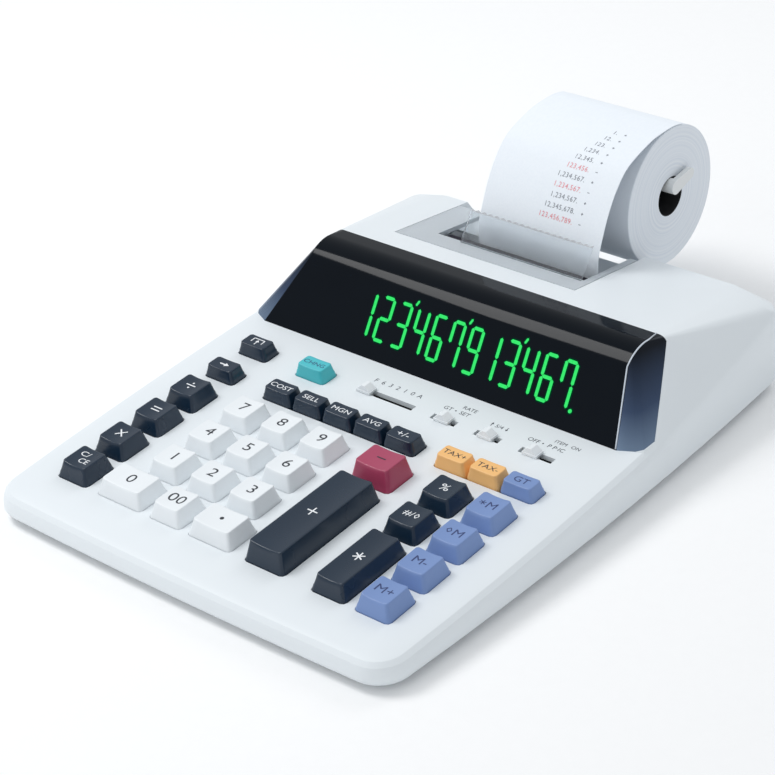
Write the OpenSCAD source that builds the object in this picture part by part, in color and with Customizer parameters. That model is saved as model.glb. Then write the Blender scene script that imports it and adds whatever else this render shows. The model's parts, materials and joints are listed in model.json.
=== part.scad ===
// Printing desktop calculator with a keyboard, a tube display and a paper printer.
// The case stands on the plane z = 0. X points right, Y points to the back.
// Most pieces are placed in the deck frame: its origin is at the front row of keys, on the
// deck's surface, its Y runs up the deck and its Z is the deck's normal.

/* [Case] */
// Width of the case at its widest
case_w = 191; // [186:1:230]
// Depth of the case from front to back
case_d = 244; // [238:1:300]
// Slope of the key deck in degrees
deck_tilt = 3.5; // [3:0.1:4.5]
// Height of the deck above the table at the front row of keys
deck_h = 12.6; // [12.4:0.1:16]
// Distance from the case's front to the front row of keys
deck_y = 21.5; // [20:0.5:30]
// Wall of the moulded shells
wall = 2; // [1.6:0.1:2.4]
// Radius of the case's front corners in plan
corner_r = 13; // [8:1:18]
// How much narrower each side is at the back than at its widest
side_bow = 6; // [0:0.5:8]
// Height of the bottom case's wall above its underside
pan_h = 4; // [3.4:0.1:4.4]
// Height of the rubber feet
foot_h = 2; // [1.5:0.1:3]
// Diameter of the rubber feet
foot_d = 13; // [8:1:16]

/* [Display housing] */
// Half width of the housing at the deck
hump_hw = 84.2; // [80:0.5:88]
// Half width of the housing at its top
hump_top_hw = 75.2; // [70:0.5:80]
// Distance up the deck from the front row of keys to the display window's foot
window_y = 119; // [117:0.5:124]
// Height of the housing's top above the deck, behind the display window
hump_h = 23.3; // [20:0.5:30]
// Length of the housing from the window's foot to the end of the window's top
window_run = 41.3; // [38:0.5:46]
// Fall of the housing's top towards the back, in degrees from the deck
top_fall = 10.8; // [6:0.2:12]
// Slope of the display window's face, in degrees from the deck
window_tilt = 44.5; // [40:0.5:50]
// Radius of the window's upper bend
window_r = 15; // [8:1:18]
// Depth of the window's side returns
window_cap = 8.3; // [6:0.1:10]

/* [Keys] */
// Pitch of the key rows
row_pitch = 18.45; // [17.8:0.05:20]
// Depth of a standard key at the deck
key_d = 14.7; // [12:0.1:15.5]
// Height of a standard key above the deck
key_h = 6.3; // [5:0.1:8]
// Depth of a short key in the upper rows
short_d = 8.6; // [7:0.1:9.5]
// Height of a short key above the deck
short_h = 5.2; // [4:0.1:7]
// Travel of the keys
key_travel = 2.5; // [1.5:0.1:2.6]
// Gap between a key and the edge of its hole
key_gap = 0.35; // [0.2:0.05:0.5]

/* [Printer] */
// Width of the paper
paper_w = 57.5; // [40:0.5:58]
// Centre of the paper, left or right of the middle of the case
paper_x = -4.2; // [-8:0.1:0]
// Diameter of the paper roll
roll_d = 57.6; // [40:0.2:60]
// Diameter of the hole in the roll's core
core_d = 16.4; // [12:0.2:20]
// Distance of the roll's axis up the deck from the front row of keys
roll_y = 242.8; // [240:0.2:250]
// Height of the roll's axis above the deck
roll_z = 26.4; // [26:0.2:34]
// Diameter of the holder's spindle
spindle_d = 6; // [4:0.5:8]
// Diameter of the platen's rubber
platen_d = 9; // [7:0.5:10]
// Diameter of the print drum
drum_d = 12; // [9:0.5:13]
// Diameter of the ink roller
ink_d = 11; // [8:0.5:12]
// Running clearance of a shaft in its bore, on the radius
shaft_gap = 0.05; // [0.02:0.01:0.1]

/* [Hidden] */

eps = 0.01;

// Columns of keys, by their centres: functions, digits (three), plus, total, memory
col_a = -70.1;
col_1 = -42.65;
digit_pitch = 18.9;
col_2 = col_1 + digit_pitch;
col_3 = col_2 + digit_pitch;
col_plus = 23.3;
col_total = 51.8;
col_memory = 70.9;
key_w = 14.9;
plus_w = 18;
// The short keys of the upper rows stand side by side
short_pitch = 14.7;
short_w = 14.3;
cost_x = -40.6;
tax_x = 41.7;
short_row_y = 77.4;
feed_row_y = 96;
zero_x = -46.3;
zero_w = 21.8;
zeros_x = -23.6;
point_x = -2.3;
point_w = 20;
plus_extra = 1.6;

dark = [0.14, 0.19, 0.25];
white = [0.93, 0.95, 0.96];
red = [0.65, 0.27, 0.38];
orange = [0.95, 0.75, 0.48];
blue = [0.49, 0.58, 0.77];
teal = [0.33, 0.76, 0.80];

function row_y(row) = row * row_pitch;
function rows_d(n) = (n - 1) * row_pitch + key_d;

// Each key: its name, centre, width, front edge, depth, height and colour
function tall(name, x, w, row, n, colour, extra = 0) =
    [name, x, w, row_y(row), rows_d(n), key_h + extra, colour];
function short(name, x, y, colour) = [name, x, short_w, y, short_d, short_h, colour];
function one(name, x, row, colour) = tall(name, x, key_w, row, 1, colour);
digit_names = ["key_1", "key_2", "key_3", "key_4", "key_5", "key_6", "key_7", "key_8", "key_9"];
trade_names = ["key_cost", "key_sell", "key_margin", "key_average", "key_sign"];
memory_names = ["key_memory_plus", "key_memory_minus", "key_memory_subtotal",
    "key_memory_total"];
left_names = ["key_clear", "key_multiply", "key_equals", "key_divide"];
standard_keys = concat(
    [for (i = [0:3]) one(left_names[i], col_a, i, dark)],
    [for (i = [0:8]) one(digit_names[i], col_1 + (i % 3) * digit_pitch, 1 + floor(i / 3),
        white)],
    [tall("key_0", zero_x, zero_w, 0, 1, white),
     one("key_00", zeros_x, 0, white),
     tall("key_point", point_x, point_w, 0, 1, white),
     tall("key_plus", col_plus, plus_w, 0, 3, dark, plus_extra),
     tall("key_minus", col_plus, plus_w, 3, 1, red, plus_extra),
     tall("key_total", col_total, key_w, 0, 2, dark),
     one("key_subtotal", col_total, 2, dark),
     one("key_percent", col_total, 3, dark)],
    [for (i = [0:3]) one(memory_names[i], col_memory, i, blue)]);
short_keys = concat(
    [for (i = [0:4]) short(trade_names[i], cost_x + i * short_pitch, short_row_y, dark)],
    [short("key_tax_plus", tax_x, short_row_y, orange),
     short("key_tax_minus", tax_x + short_pitch, short_row_y, orange),
     short("key_grand_total", tax_x + 2 * short_pitch, short_row_y, blue),
     short("key_backspace", col_a, short_row_y, dark),
     short("key_paper_feed", col_a, feed_row_y, dark),
     short("key_change", cost_x, feed_row_y, teal)]);
keys = concat(standard_keys, short_keys);
key_inset = 1.7;
short_inset = 1.2;
key_r = 1.6;
flange_t = 0.8;
flange_gap = 0.15;
flange_out = 0.9;
plunger_d = 4;
plunger_out = 0.25;

// Slide switches: name, knob's place, left and right end of its travel
switch_y = 102;
stop_pitch = 3.4;
switches = [["switch_decimal", -16.9, 0, 6], ["switch_rate", 20, -1, 1],
    ["switch_round", 40, -1, 1], ["switch_power", 60.2, -1, 2]];
knob_w = 6.4;
knob_d = 4.6;
slot_w = 3.2;
slot_over = 4.4;

// Case
wide_y = 97;
front_bow = 1.2;
rear_r = 10;
side_n = 8;
arc_n = 6;
roll_r = roll_d / 2;
roll_end = deck_y + roll_y * cos(deck_tilt) - roll_z * sin(deck_tilt) + roll_r;
total_d = max(case_d, roll_end);
mid_y = total_d / 2;
part_z = foot_h + pan_h;

function half_w(y) = case_w / 2 - side_bow * pow((y - wide_y) / (case_d - wide_y), 2);
function arc(cx, cy, r, a, b, n) =
    [for (i = [0:n]) [cx + r * cos(a + (b - a) * i / n), cy + r * sin(a + (b - a) * i / n)]];
front_c = [half_w(corner_r) - corner_r, corner_r + front_bow];
rear_c = [half_w(case_d - rear_r) - rear_r, case_d - rear_r];
// The right half of the plan, drawn inside by a distance, from the front to the back
function right_half(e) = concat(
    [for (i = [0:3]) [front_c.x * i / 4, e + front_bow * pow(i / 4, 2)]],
    arc(front_c.x, front_c.y, corner_r - e, -90, 0, arc_n),
    [for (i = [1:side_n]) let (y = front_c.y + (rear_c.y - front_c.y) * i / (side_n + 1))
        [half_w(y) - e, y]],
    arc(rear_c.x, rear_c.y, rear_r - e, 0, 90, arc_n));
function mirrored(half) = concat(half,
    [for (i = [len(half) - 1:-1:0]) if (half[i].x > eps) [-half[i].x, half[i].y]]);
function plan(e) = mirrored(right_half(e));
function back_plan(e, y0) = mirrored(concat([[0, y0], [half_w(y0) - e, y0]],
    [for (p = right_half(e)) if (p.y > y0 + 1) p]));
function rounded(w, d, r, n = 3) = concat(
    arc(w / 2 - r, d / 2 - r, r, 0, 90, n), arc(r - w / 2, d / 2 - r, r, 90, 180, n),
    arc(r - w / 2, r - d / 2, r, 180, 270, n), arc(w / 2 - r, r - d / 2, r, 270, 360, n));

// Places pieces that are drawn with the case's front at y = 0
module placed() translate([0, -mid_y, 0]) children();
// Places pieces that are drawn in the deck frame
module deck() translate([0, deck_y - mid_y, deck_h]) rotate([deck_tilt, 0, 0]) children();
// The same frame, inside placed()
module on_deck() translate([0, deck_y, deck_h]) rotate([deck_tilt, 0, 0]) children();
// A frame on the housing's top, at the window's back edge
module on_top() translate([0, window_y + window_run, hump_h]) rotate([-top_fall, 0, 0])
    children();
module slab(points, z) translate([0, 0, z]) linear_extrude(eps) polygon(points);
module deck_slab(e, z) on_deck() translate([0, -deck_y, 0]) slab(plan(e), z - eps);

// Case body below the deck, solid
module tray() hull() {
    slab(plan(3.2), foot_h);
    slab(plan(1.2), foot_h + 0.8);
    slab(plan(0), foot_h + 2.6);
    deck_slab(0, -4.6);
    deck_slab(0.9, -2);
    deck_slab(2.6, -0.6);
    deck_slab(5, 0);
}
module tray_hollow() hull() {
    slab(plan(wall + 3), foot_h + wall);
    slab(plan(wall), foot_h + wall + 2.2);
    deck_slab(wall, -4.6 - wall / 4);
    deck_slab(wall + 3.4, -wall);
}
crease_y = window_y + 3;
crease_rise = 6.2;
top_y = window_y + window_run;
top_end = (case_d - deck_y - top_y - 3) / cos(top_fall);
// Where the window's face would meet the housing's top
face_len = (hump_h + window_run * tan(top_fall))
    / (sin(window_tilt) + cos(window_tilt) * tan(top_fall));
bend = window_tilt + top_fall;
knee_back = window_r * tan(bend / 2);
knee_hw = hump_hw - (hump_hw - hump_top_hw) * 0.95;

// Display housing, solid, drawn inside by a distance
module housing(e) hull() {
    on_deck() translate([0, -deck_y, 0]) slab(back_plan(e, deck_y + crease_y), -4.6 - e / 4);
    on_deck() translate([0, crease_y, 0]) rotate([crease_rise, 0, 0])
        translate([0, -deck_y - crease_y, 0]) {
            slab(back_plan(4.6 + e, deck_y + crease_y), -e);
            slab(back_plan(1 + e, deck_y + crease_y), -e - 2.6);
            slab(back_plan(e + 0.2, deck_y + crease_y), -e - 5);
        }
    on_deck() {
        on_top() {
            translate([0, top_end / 2 - 3, -e]) slab(rounded(2 * (hump_top_hw - e) - 2.4,
                top_end + 4 - 2 * e, 5), -eps);
            translate([0, top_end / 2 - 3, -e]) slab(rounded(2 * (hump_top_hw - e),
                top_end + 6 - 2 * e, 6), -1.6);
        }
        translate([0, window_y + (face_len - knee_back) * cos(window_tilt)
            + window_r * sin(window_tilt), (face_len - knee_back) * sin(window_tilt)
            - window_r * cos(window_tilt)])
            rotate([0, 90, 0]) cylinder(r = window_r - e, h = 2 * (knee_hw - e),
                center = true, $fn = 96);
        translate([0, window_y + 0.6 + e / sin(window_tilt), 0])
            cube([2 * (hump_hw - e), 1, eps], center = true);
    }
}
// Part of the housing that the window stands in for, seen from the side
window_gap = 0.05;
window_back = window_y + window_cap / sin(window_tilt);
module window_zone(gap) on_deck() rotate([90, 0, 90])
    linear_extrude(2 * case_w, center = true) polygon([
        [window_y - 9, window_gap], [window_back + gap, window_gap],
        [top_y + gap, hump_h - wall + 0.2 - gap], [top_y + gap, hump_h + 20],
        [window_y - 9, hump_h + 20]]);

// Printer bay in the housing's top, open to the back
bay_x0 = -59.2;
bay_x1 = 28.8;
bay_y = 12.5;
bay_sill = 206;
bay_floor = 2.6;
sill_h = 6.3;
ledge = 1.5;
hinge_y = 3.3;
hinge_z = -1.4;
hinge_d = 1.8;
module bay_cut() on_deck() {
    on_top() translate([bay_x0, bay_y, -7]) cube([bay_x1 - bay_x0, 90, 30]);
    on_top() translate([bay_x0 + ledge, bay_y + ledge, -18])
        cube([bay_x1 - bay_x0 - 2 * ledge, 34, 30]);
    translate([bay_x0, bay_sill, bay_floor]) cube([bay_x1 - bay_x0, 60, sill_h]);
}
module bay_walls() on_deck() {
    translate([bay_x0 - wall, bay_sill - wall, bay_floor - wall])
        cube([bay_x1 - bay_x0 + 2 * wall, 40, 60]);
    on_top() translate([bay_x0 - wall - 1, bay_y - wall, -9])
        cube([bay_x1 - bay_x0 + 2 * wall + 2, 40, 30]);
}
module key_holes() {
    for (k = standard_keys) translate([k[1], k[3] + k[4] / 2, -wall * 2])
        linear_extrude(wall * 4) polygon(rounded(k[2] + 2 * key_gap, k[4] + 2 * key_gap,
            key_r + key_gap, 2));
    short_hole(cost_x, cost_x + 4 * short_pitch, short_row_y);
    short_hole(tax_x, tax_x + 2 * short_pitch, short_row_y);
    short_hole(col_a, col_a, short_row_y);
    short_hole(col_a, col_a, feed_row_y);
    short_hole(cost_x, cost_x, feed_row_y);
}
module short_hole(x0, x1, y) translate([(x0 + x1) / 2, y + short_d / 2, -wall * 2])
    linear_extrude(wall * 4) polygon(rounded(x1 - x0 + short_w + 2 * key_gap,
        short_d + 2 * key_gap, key_r, 2));
module switch_slots() for (s = switches)
    translate([s[1] + (s[2] + s[3]) * stop_pitch / 2, switch_y, 0])
        cube([(s[3] - s[2]) * stop_pitch + slot_over, slot_w, wall * 3], center = true);

gland_x = -66;
gland_z = 15;
gland_d = 11;
screw_d = 3;
head_d = 5.6;
head_in = 0.8;
screw_places = [for (x = [-1, 1], y = [16, case_d - 18]) [x * (case_w / 2 - 15), y]];

module cavity() {
    tray_hollow();
    difference() {
        housing(wall);
        bay_walls();
    }
}
module below_parting() translate([0, 0, part_z - 100]) cube([400, 800, 200], center = true);
module bay_hinge_line() on_top()
    translate([(bay_x0 + bay_x1) / 2, bay_y + hinge_y, hinge_z]) rotate([0, 90, 0]) children();
boss_d = screw_d + 4;
module case_bosses() difference() {
    for (p = screw_places) {
        rear = p.y > case_d / 2;
        translate([p.x, p.y, foot_h + wall + 0.1]) cylinder(d = boss_d, h = rear ? 16 : 7,
            $fn = 32);
        if (rear) translate([p.x - wall / 2, p.y, foot_h + wall + 4])
            cube([wall, case_d - wall / 2 - p.y, 12]);
    }
    for (p = screw_places) translate([p.x, p.y, 0]) cylinder(d = screw_d, h = 10, $fn = 32);
}
module gland_hole() translate([gland_x, case_d - 8, gland_z]) rotate([-90, 0, 0])
    cylinder(d = gland_d + 0.2, h = 20, $fn = 48);

module top_case() color(white) placed() {
    difference() {
        union() {
            tray();
            difference() {
                housing(0);
                window_zone(2 * window_gap);
            }
        }
        cavity();
        below_parting();
        bay_cut();
        on_deck() key_holes();
        on_deck() switch_slots();
        on_deck() bay_hinge_line() cylinder(d = hinge_d + 2 * shaft_gap,
            h = bay_x1 - bay_x0 + 2 * wall + 6, center = true, $fn = 32);
        gland_hole();
    }
    case_bosses();
}

module bottom_case() color(white) placed() difference() {
    intersection() {
        tray();
        translate([0, 0, foot_h + pan_h / 2 - 5]) cube([400, 800, pan_h + 10], center = true);
    }
    translate([0, 0, foot_h + wall]) linear_extrude(20) polygon(plan(wall + 3));
    for (p = screw_places) translate([p.x, p.y, 0]) {
        cylinder(d = screw_d + 0.4, h = 20, $fn = 32);
        cylinder(d = head_d + 0.6, h = foot_h + head_in, $fn = 32);
    }
}

module display_window() color([0.04, 0.05, 0.07]) placed() difference() {
    intersection() {
        housing(0);
        window_zone(window_gap);
    }
    housing(wall);
}

// Glass tube with the digits, standing behind the window
tube_w = 130;
tube_d = 7;
tube_len = 22;
tube_x = 8;
module display_tube() color([0.2, 0.3, 0.3]) deck()
    translate([tube_x, window_y + 15, 2.2]) rotate([window_tilt + 8, 0, 0]) {
        translate([-tube_w / 2, 0, -tube_d]) cube([tube_w, tube_len, tube_d]);
        translate([-tube_w / 2 - 4, 4, -tube_d / 2]) rotate([0, 90, 0])
            cylinder(d = 3, h = 6, $fn = 24);
    }

// The mat and the board start behind the case's front screw bosses
board_t = 1;
mat_t = 0.8;
mat_gap = 0.4;
board_y = -1.5;
board_top = -wall - flange_gap - flange_t - plunger_out - key_travel - mat_gap - mat_t;
module board_plate(w, end, r) translate([0, (board_y + end) / 2, 0])
    polygon(rounded(w, end - board_y, r));
module keypad_mat() color([0.75, 0.77, 0.78]) deck()
    translate([0, 0, board_top]) linear_extrude(mat_t) board_plate(166, 110, 4);
module main_board() color([0.15, 0.40, 0.25]) deck() {
    translate([0, 0, board_top - board_t]) linear_extrude(board_t) board_plate(172, 116, 3);
    translate([-30, 112.6, board_top]) cube([26, 3, 2.4]);
    translate([20, 112.6, board_top]) cube([14, 3, 2.2]);
}

core_w = 42;
core_h = 12;
module transformer() color([0.35, 0.35, 0.38]) placed()
    translate([58, case_d - 58, foot_h + wall]) {
        translate([-core_w / 2, 0, 0]) cube([core_w, 34, core_h]);
        translate([-13, -5, 1]) cube([26, 44, core_h - 2]);
        translate([-core_w / 2 - 5, 10, 0]) cube([core_w + 10, 14, 1.5]);
    }

// Printer: the paper climbs between the drum in front and the platen behind
tape_t = 0.3;
tape_gap = 0.35;
tape_y = 193.4;
nip_z = -1;
platen_y = tape_y + platen_d / 2 + tape_gap;
drum_y = tape_y - tape_t - drum_d / 2 - tape_gap;
ink_z = nip_z + (drum_d + ink_d) / 2 + tape_gap;
ink_y = drum_y;
shaft_d = 4;
plate_t = 1.6;
plate_x0 = -48;
plate_x1 = 25.2;
shaft_end = 0.4;
base_z = -12;
plate_front = 9;
plate_back = 16.4;
plate_top = 3.4;
module printer_frame() color([0.62, 0.64, 0.66]) deck() difference() {
    union() {
        for (x = [plate_x0, plate_x1]) translate([x, 0, 0]) rotate([90, 0, 90])
            linear_extrude(plate_t) polygon([[drum_y - plate_front, base_z],
                [drum_y + plate_back, base_z], [drum_y + plate_back, 8],
                [drum_y + 8, ink_z + plate_top], [drum_y - plate_front, ink_z + plate_top]]);
        translate([plate_x0, drum_y - plate_front, base_z])
            cube([plate_x1 - plate_x0 + plate_t, plate_front + plate_back, 1.5]);
    }
    for (c = [[platen_y, nip_z], [drum_y, nip_z], [ink_y, ink_z]])
        translate([0, c.x, c.y]) rotate([0, 90, 0])
            cylinder(d = shaft_d + 2 * shaft_gap, h = 200, center = true, $fn = 32);
}
module along_x(y, z, x0, x1, d) translate([x0, y, z]) rotate([0, 90, 0])
    cylinder(d = d, h = x1 - x0, $fn = 48);
gear_t = 2.6;
gear_x = plate_x0 - shaft_end - gear_t;
gear_teeth = 14;
gear_tip = 0.5;
module printer_shaft(y, z, x0) along_x(y, z, x0, plate_x1 + plate_t + shaft_end, shaft_d);
module gear(y, z, r, turn) translate([gear_x, y, z]) rotate([0, 90, 0])
    linear_extrude(gear_t) polygon([for (i = [0:4 * gear_teeth - 1])
        let (a = turn + (i - 0.5) * 90 / gear_teeth, q = r + ((i % 4 < 2) ? gear_tip : -0.7))
        [q * cos(a), q * sin(a)]]);
gear_r = (platen_y - drum_y) / 2;
module platen_roller() color([0.2, 0.2, 0.21]) deck() {
    along_x(platen_y, nip_z, paper_x - paper_w / 2, paper_x + paper_w / 2, platen_d);
    printer_shaft(platen_y, nip_z, gear_x);
    gear(platen_y, nip_z, gear_r, 270 + 180 / gear_teeth);
}
wheel_n = 16;
wheel_pitch = paper_w / wheel_n;
module print_drum() color([0.25, 0.25, 0.27]) deck() {
    for (i = [0:wheel_n - 1]) along_x(drum_y, nip_z,
        paper_x - paper_w / 2 + (i + 0.15) * wheel_pitch,
        paper_x - paper_w / 2 + (i + 0.85) * wheel_pitch, drum_d);
    along_x(drum_y, nip_z, paper_x - paper_w / 2, paper_x + paper_w / 2, drum_d - 3);
    printer_shaft(drum_y, nip_z, gear_x);
    gear(drum_y, nip_z, gear_r, 90);
}
module ink_roller() color([0.12, 0.10, 0.18]) deck() {
    along_x(ink_y, ink_z, plate_x0 + 4, plate_x1 - 2, ink_d);
    printer_shaft(ink_y, ink_z, plate_x0 - shaft_end);
}
motor_d = 15;
module printer_motor() color([0.7, 0.7, 0.72]) deck() {
    along_x(drum_y, nip_z - 2, -84, -64, motor_d);
    along_x(drum_y, nip_z - 2, -64, gear_x - 0.5, 2);
}

// Cover of the printer bay: a frame round the paper, hinged at its front
cover_gap = 0.4;
cover_t = 1.8;
cover_y0 = bay_y + cover_gap;
cover_len = 41;
open_x0 = -45.5;
open_x1 = 25.4;
open_y = bay_y + 10.6;
module printer_cover() color([0.75, 0.80, 0.84, 0.6]) deck() on_top() {
    translate([0, 0, -cover_t]) linear_extrude(cover_t) difference() {
        polygon([[bay_x0 + cover_gap, cover_y0], [bay_x1 - cover_gap, cover_y0],
            [bay_x1 - cover_gap, cover_y0 + cover_len],
            [bay_x0 + cover_gap, cover_y0 + cover_len]]);
        translate([open_x0, open_y]) square([open_x1 - open_x0, 80]);
    }
    for (x = [bay_x0 - 1, bay_x1 - 1.4]) translate([x, bay_y + hinge_y, hinge_z])
        rotate([0, 90, 0]) cylinder(d = hinge_d, h = 2.4, $fn = 32);
    tear_place() cube([tear_w, tear_len, 1]);
}
// The clear plate that guides the paper, leaning back from the cover's front bar
tear_len = 13.6;
tear_w = paper_w + 0.6;
tear_lean = 61;
module tear_place() translate([paper_x - tear_w / 2, open_y - 0.8, -cover_t / 2])
    rotate([tear_lean, 0, 0]) children();
teeth_n = 38;
module tear_bar() color([0.8, 0.82, 0.84]) deck() on_top() tear_place()
    translate([0, tear_len, 0.2]) linear_extrude(0.6) polygon(concat([[0, 0]],
        [for (i = [0:teeth_n]) [i * tear_w / teeth_n, i % 2 == 0 ? 1 : 0.3]],
        [[tear_w, 0]]));

module paper_roll() color([0.92, 0.94, 0.96]) deck() difference() {
    along_x(roll_y, roll_z, paper_x - paper_w / 2, paper_x + paper_w / 2, roll_d);
    along_x(roll_y, roll_z, paper_x - paper_w, paper_x + paper_w, core_d);
}

// Path of the printed strip, in the deck frame, from the printer to its free end
strip = [[tape_y, -9], [tape_y, 10], [tape_y, 18], [tape_y + 1.2, 24], [tape_y + 4, 30],
    [tape_y + 8.6, 38.2], [tape_y + 14.6, 45.8], [tape_y + 22.6, 51.8],
    [roll_y - 13, roll_z + roll_r + 0.4], [roll_y - 4, roll_z + roll_r + 1.2],
    [roll_y + 4, roll_z + roll_r + 0.6], [roll_y + 10, roll_z + roll_r - 0.6]];
function step(p, i) = let (d = p[min(i + 1, len(p) - 1)] - p[max(i - 1, 0)]) d / norm(d);
function beside(p, t) = [for (i = [0:len(p) - 1]) let (d = step(p, i))
    [p[i].x - t * d.y, p[i].y + t * d.x]];
module paper_tape() color([0.95, 0.97, 0.98]) deck()
    translate([paper_x - paper_w / 2, 0, 0]) rotate([90, 0, 90]) linear_extrude(paper_w)
        polygon(concat(strip, [for (i = [len(strip) - 1:-1:0]) beside(strip, tape_t)[i]]));

spindle_z = roll_z + core_d / 2 - spindle_d / 2 - 0.4;
arm_x = paper_x - paper_w / 2 - 7;
arm_t = 3;
module roll_holder() color([0.85, 0.87, 0.88]) deck() {
    along_x(roll_y, spindle_z, arm_x, paper_x + paper_w / 2 + 3, spindle_d);
    hull() {
        translate([arm_x, roll_y, spindle_z]) rotate([0, 90, 0])
            cylinder(d = spindle_d + 5, h = arm_t, $fn = 32);
        translate([arm_x, 208.5, bay_floor]) cube([arm_t, 13, 2]);
    }
    translate([arm_x - 9, 208.5, bay_floor]) cube([14, 13, 2]);
    hull() {
        translate([paper_x + paper_w / 2 + 1.2, roll_y, spindle_z]) rotate([0, 90, 0])
            cylinder(d = spindle_d, h = 2, $fn = 32);
        translate([paper_x + paper_w / 2 + 1.2, roll_y + 10, spindle_z + 1.5])
            rotate([0, 90, 0]) cylinder(d = spindle_d - 1.5, h = 2, $fn = 32);
    }
}

foot_places = [for (x = [-1, 1], y = [27, case_d - 32]) [x * (case_w / 2 - 18), y]];
module rubber_feet() color([0.2, 0.2, 0.2]) placed() for (p = foot_places)
    translate([p.x, p.y, 0]) cylinder(d = foot_d, h = foot_h, $fn = 48);
module case_screws() color([0.7, 0.7, 0.7]) placed() for (p = screw_places)
    translate([p.x, p.y, foot_h + head_in - 1.2]) {
        cylinder(d = head_d, h = 1.2, $fn = 32);
        cylinder(d = screw_d - 0.2, h = 7, $fn = 32);
    }
module cord_gland() color([0.2, 0.2, 0.21]) placed() translate([gland_x, case_d, gland_z])
    rotate([90, 0, 0]) difference() {
        union() {
            translate([0, 0, -1.6]) cylinder(d = gland_d + 3, h = 1.6, $fn = 48);
            cylinder(d = gland_d, h = 6, $fn = 48);
        }
        translate([0, 0, -4]) cylinder(d = 6, h = 20, $fn = 48);
    }

// A key's cap, with a flared foot, a dished top, a flange under the deck and a plunger
module key(k) {
    small = k[5] == short_h;
    inset = small ? short_inset : key_inset;
    front = small ? 0.8 : 2.1;
    back = small ? 0.8 : 1.1;
    top_w = k[2] - 2 * inset;
    top_d = k[4] - front - back;
    sag = small ? 0.25 : 0.7;
    dish_r = top_w * top_w / (8 * sag) + sag / 2;
    side_flange = small ? -0.2 : flange_out;
    color(k[6]) deck() translate([k[1], k[3] + k[4] / 2, 0]) {
        difference() {
            hull() {
                translate([0, 0, -flange_gap - wall]) linear_extrude(wall + flange_gap)
                    polygon(rounded(k[2], k[4], key_r));
                translate([0, (front - back) / 2, k[5] - 0.6]) linear_extrude(0.6)
                    polygon(rounded(top_w, top_d, key_r));
            }
            translate([0, 0, k[5] + dish_r - sag]) rotate([90, 0, 0])
                cylinder(r = dish_r, h = 200, center = true, $fn = 120);
        }
        translate([0, 0, -wall - flange_gap - flange_t]) linear_extrude(flange_t)
            polygon(rounded(k[2] + 2 * side_flange, k[4] + 2 * flange_out, key_r));
        translate([0, 0, -wall - flange_gap - flange_t - plunger_out])
            cylinder(d = plunger_d, h = 1, $fn = 24);
    }
}
// A slide switch's knob: a block with a finger ridge, and a stem through the slot
module switch_knob(s) color(white) deck() translate([s[1], switch_y, 0]) {
    translate([-knob_w / 2, -knob_d / 2, 0.2]) cube([knob_w, knob_d, 1]);
    hull() {
        translate([-knob_w / 2 + 0.4, -knob_d / 2 + 0.3, 1]) cube([knob_w - 0.8, knob_d - 0.6,
            0.4]);
        translate([-0.8, -knob_d / 2 + 0.5, 2.8]) cube([1.6, knob_d - 1, 0.4]);
    }
    translate([-2, -slot_w / 2 + 0.3, -wall - 1]) cube([4, slot_w - 0.6, wall + 1.4]);
}

top_case();
bottom_case();
display_window();
display_tube();
keypad_mat();
main_board();
transformer();
printer_frame();
printer_cover();
tear_bar();
platen_roller();
print_drum();
ink_roller();
printer_motor();
paper_roll();
paper_tape();
roll_holder();
rubber_feet();
case_screws();
cord_gland();
for (s = switches) switch_knob(s);
for (k = keys) key(k);
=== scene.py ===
# %% [markdown]
# # A printing desk calculator
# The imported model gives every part's place and how it moves. This lesson adds the looks:
# smooth keycaps with their legends, a dark display, printed paper and studio light.
# Everything is in metres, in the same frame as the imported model.

# %% Load the fixed model
import json
import math
import bpy
from mathutils import Vector, Matrix


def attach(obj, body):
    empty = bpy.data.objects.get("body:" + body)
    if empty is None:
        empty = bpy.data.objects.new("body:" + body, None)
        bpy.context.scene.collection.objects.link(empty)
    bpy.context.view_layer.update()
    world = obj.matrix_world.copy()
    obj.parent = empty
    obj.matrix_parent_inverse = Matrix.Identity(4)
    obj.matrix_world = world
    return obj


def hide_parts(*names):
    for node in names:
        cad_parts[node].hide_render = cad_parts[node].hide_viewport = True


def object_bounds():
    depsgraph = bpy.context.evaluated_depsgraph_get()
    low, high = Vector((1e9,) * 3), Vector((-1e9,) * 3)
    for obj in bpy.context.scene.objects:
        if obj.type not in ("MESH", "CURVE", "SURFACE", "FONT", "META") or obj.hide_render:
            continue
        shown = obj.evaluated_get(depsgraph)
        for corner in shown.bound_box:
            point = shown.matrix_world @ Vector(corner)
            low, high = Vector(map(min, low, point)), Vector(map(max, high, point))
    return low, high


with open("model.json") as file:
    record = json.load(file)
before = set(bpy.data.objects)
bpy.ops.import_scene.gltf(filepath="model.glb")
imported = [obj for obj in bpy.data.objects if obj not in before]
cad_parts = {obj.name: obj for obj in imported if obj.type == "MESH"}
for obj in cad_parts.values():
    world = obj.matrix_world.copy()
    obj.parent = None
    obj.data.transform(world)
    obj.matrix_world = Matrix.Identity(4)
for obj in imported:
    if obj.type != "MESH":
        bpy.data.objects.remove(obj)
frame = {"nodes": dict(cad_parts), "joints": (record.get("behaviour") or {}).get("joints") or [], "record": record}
cad_low, cad_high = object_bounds()
nodes = frame["nodes"]
MM = 0.001
print("nodes:", len(nodes), "box:", [round(v, 4) for v in (*cad_low, *cad_high)])

# %% [markdown]
# ## The deck's own frame
# The keys stand on a deck that slopes towards the user. It is easier to build in the
# deck's frame: x to the right, v up the deck and w away from it. The slope comes from
# the direction in which the keys move, so it can't disagree with the model.

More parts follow.
